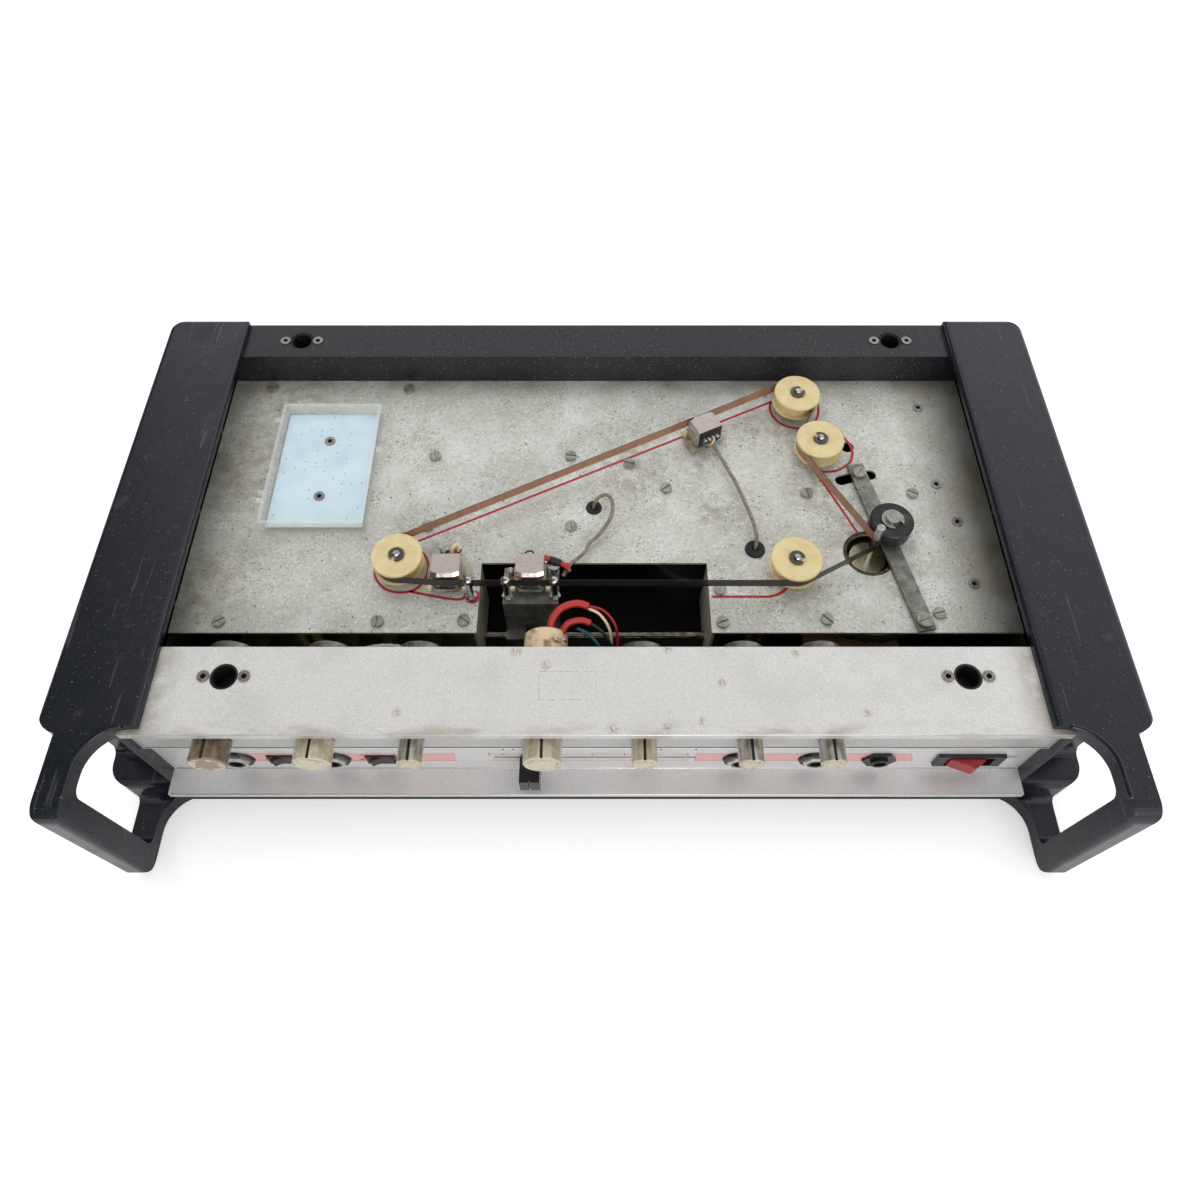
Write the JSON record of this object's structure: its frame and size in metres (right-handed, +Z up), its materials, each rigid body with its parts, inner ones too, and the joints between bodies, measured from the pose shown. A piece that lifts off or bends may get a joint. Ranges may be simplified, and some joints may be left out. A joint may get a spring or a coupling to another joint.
{
  "type": "tape echo unit",
  "caption": "Tape echo unit with its lid off: black end cheeks with handles, a deck with a tape loop on pulleys, a sliding playback head, and a recessed front with knobs and sockets.",
  "frame": {"origin": "middle of the bounding box at the table, under the feet", "axes": "+X to the right seen from the controls, +Y away from the controls, +Z up"},
  "size_m": [0.533, 0.313, 0.116],
  "materials": {
    "end_cheeks": "semi-gloss moulding, lightly scuffed",
    "chassis_steel": "satin",
    "rear_paint": "satin",
    "rail_silver": "silver, fine sparkle",
    "panel_aluminium": "satin",
    "deck_zinc": "mottled zinc plate",
    "feet_rubber": "matte",
    "cup_plastic": "matte",
    "rivet_metal": "dull plate",
    "screw_metal": "dull plate",
    "pillar_brass": "satin",
    "tray_clear": "clear polystyrene, yellowed edges",
    "card_blue": "matte card",
    "pulley_nylon": "cream nylon, satin",
    "post_steel": "polished",
    "clip_steel": "oiled spring steel",
    "shaft_steel": "polished",
    "flywheel_brass": "turned",
    "bearing_metal": "satin",
    "belt_rubber": "matte",
    "arm_steel": "mottled zinc plate",
    "roller_rubber": "satin",
    "head_case": "satin",
    "bracket_zinc": "yellow zinc plate",
    "lever_black": "satin",
    "lead_sleeve": "satin",
    "grommet_rubber": "satin",
    "tape_film": "glossy film",
    "knob_amber": "amber acrylic, rough end",
    "knob_yellowed": "yellowed acrylic",
    "knob_clear": "clear acrylic, metallized back",
    "pot_metal": "plated",
    "socket_black": "satin",
    "nut_chrome": "polished",
    "rocker_black": "satin",
    "rocker_red": "translucent red",
    "core_steel": "satin",
    "board_green": "lacquered board"
  },
  "bodies": {
    "chassis": {"left_cheek": "end_cheeks", "right_cheek": "end_cheeks", "chassis_tray": "chassis_steel", "rear_panel": "rear_paint", "front_rail": "rail_silver", "rear_rail": "rear_paint", "control_panel": "panel_aluminium", "deck_plate": "deck_zinc", "rubber_feet": "feet_rubber", "latch_cups": "cup_plastic", "hollow_rivets": "rivet_metal", "deck_screws": "screw_metal", "deck_pillars": "pillar_brass", "spare_tape_tray": "tray_clear", "tray_card": "card_blue", "pulley_posts": "post_steel", "pulley_clips": "clip_steel", "capstan_bearing": "bearing_metal", "drive_motor": "bearing_metal", "drive_belt": "belt_rubber", "record_head": "head_case", "erase_head": "head_case", "head_brackets": "bracket_zinc", "carriage_rod": "shaft_steel", "guide_posts": "post_steel", "head_leads": "lead_sleeve", "grommets": "grommet_rubber", "tape_loop": "tape_film", "pots": "pot_metal", "jack_sockets": "socket_black", "jack_nuts": "nut_chrome", "switch_frames": "socket_black", "power_transformer": "core_steel", "circuit_board": "board_green", "rear_fittings": "socket_black"},
    "capstan": {"capstan_shaft": "shaft_steel", "flywheel": "flywheel_brass"},
    "pulley_1": {"pulley_1": "pulley_nylon"},
    "pulley_2": {"pulley_2": "pulley_nylon"},
    "pulley_3": {"pulley_3": "pulley_nylon"},
    "pulley_4": {"pulley_4": "pulley_nylon"},
    "pinch_arm": {"pinch_arm": "arm_steel", "arm_pins": "post_steel"},
    "pinch_roller": {"pinch_roller": "roller_rubber"},
    "motor_pulley": {"motor_pulley": "flywheel_brass"},
    "carriage": {"head_carriage": "bracket_zinc", "slider_lever": "lever_black", "playback_head": "head_case", "carriage_posts": "post_steel", "playback_lead": "lead_sleeve"},
    "knob_1": {"knob_1": "knob_amber"},
    "knob_2": {"knob_2": "knob_yellowed"},
    "knob_3": {"knob_3": "knob_clear"},
    "knob_4": {"knob_4": "knob_yellowed"},
    "knob_5": {"knob_5": "knob_yellowed"},
    "knob_6": {"knob_6": "knob_clear"},
    "knob_7": {"knob_7": "knob_clear"},
    "echo_rocker_1": {"echo_rocker_1": "rocker_black"},
    "echo_rocker_2": {"echo_rocker_2": "rocker_black"},
    "mains_rocker": {"mains_rocker": "rocker_red"}
  },
  "joints": [
    {"name": "capstan_spin", "type": "hinge", "parent": "chassis", "child": "capstan", "pos_m": [0.154, 0.0003, 0.089], "axis": [0, 0, 1], "continuous": true},
    {"name": "pulley_1_spin", "type": "hinge", "parent": "chassis", "child": "pulley_1", "pos_m": [0.1228, 0.1052, 0.1005], "axis": [0, 0, 1], "continuous": true},
    {"name": "pulley_2_spin", "type": "hinge", "parent": "chassis", "child": "pulley_2", "pos_m": [0.1322, 0.0695, 0.1005], "axis": [0, 0, 1], "continuous": true},
    {"name": "pulley_3_spin", "type": "hinge", "parent": "chassis", "child": "pulley_3", "pos_m": [-0.1082, -0.0107, 0.1005], "axis": [0, 0, 1], "continuous": true},
    {"name": "pulley_4_spin", "type": "hinge", "parent": "chassis", "child": "pulley_4", "pos_m": [0.1088, -0.0129, 0.1005], "axis": [0, 0, 1], "continuous": true},
    {"name": "pinch_arm_swing", "type": "hinge", "parent": "chassis", "child": "pinch_arm", "pos_m": [0.1758, -0.0441, 0.091], "axis": [0, 0, 1], "range_deg": [-4, 0]},
    {"name": "pinch_roller_spin", "type": "hinge", "parent": "pinch_arm", "child": "pinch_roller", "pos_m": [0.16437, 0.01142, 0.102], "axis": [0, 0, 1], "continuous": true},
    {"name": "motor_pulley_spin", "type": "hinge", "parent": "chassis", "child": "motor_pulley", "pos_m": [0.062, 0.03, 0.072], "axis": [0, 0, 1], "continuous": true},
    {"name": "delay_slide", "type": "slide", "parent": "chassis", "child": "carriage", "axis": [1, 0, 0], "range_m": [-0.01, 0.08], "deforming": ["playback_lead"]},
    {"name": "knob_1_turn", "type": "hinge", "parent": "chassis", "child": "knob_1", "pos_m": [-0.1895, -0.118, 0.094], "axis": [0, 1, 0], "range_deg": [-150, 150]},
    {"name": "knob_2_turn", "type": "hinge", "parent": "chassis", "child": "knob_2", "pos_m": [-0.1386, -0.118, 0.094], "axis": [0, 1, 0], "range_deg": [-150, 150]},
    {"name": "knob_3_turn", "type": "hinge", "parent": "chassis", "child": "knob_3", "pos_m": [-0.091, -0.118, 0.094], "axis": [0, 1, 0], "range_deg": [-150, 150]},
    {"name": "knob_4_turn", "type": "hinge", "parent": "chassis", "child": "knob_4", "pos_m": [-0.0263, -0.118, 0.094], "axis": [0, 1, 0], "range_deg": [-150, 150]},
    {"name": "knob_5_turn", "type": "hinge", "parent": "chassis", "child": "knob_5", "pos_m": [0.0237, -0.118, 0.094], "axis": [0, 1, 0], "range_deg": [-150, 150]},
    {"name": "knob_6_turn", "type": "hinge", "parent": "chassis", "child": "knob_6", "pos_m": [0.076, -0.118, 0.094], "axis": [0, 1, 0], "range_deg": [-150, 150]},
    {"name": "knob_7_turn", "type": "hinge", "parent": "chassis", "child": "knob_7", "pos_m": [0.116, -0.118, 0.094], "axis": [0, 1, 0], "range_deg": [-150, 150]},
    {"name": "echo_rocker_1_tilt", "type": "hinge", "parent": "chassis", "child": "echo_rocker_1", "pos_m": [-0.165, -0.1055, 0.058], "axis": [0, 0, 1], "range_deg": [-16, 0]},
    {"name": "echo_rocker_2_tilt", "type": "hinge", "parent": "chassis", "child": "echo_rocker_2", "pos_m": [-0.1132, -0.1055, 0.058], "axis": [0, 0, 1], "range_deg": [-16, 0]},
    {"name": "mains_rocker_tilt", "type": "hinge", "parent": "chassis", "child": "mains_rocker", "pos_m": [0.197, -0.1055, 0.058], "axis": [0, 0, 1], "range_deg": [-16, 0]}
  ],
  "couplings": [
    {"joint": "pulley_1_spin", "follows": "capstan_spin", "ratio": 0.18443},
    {"joint": "pulley_2_spin", "follows": "capstan_spin", "ratio": -0.18443},
    {"joint": "pulley_3_spin", "follows": "capstan_spin", "ratio": 0.18443},
    {"joint": "pulley_4_spin", "follows": "capstan_spin", "ratio": 0.18443},
    {"joint": "pinch_roller_spin", "follows": "capstan_spin", "ratio": -0.1875},
    {"joint": "motor_pulley_spin", "follows": "capstan_spin", "ratio": 6.4286}
  ]
}
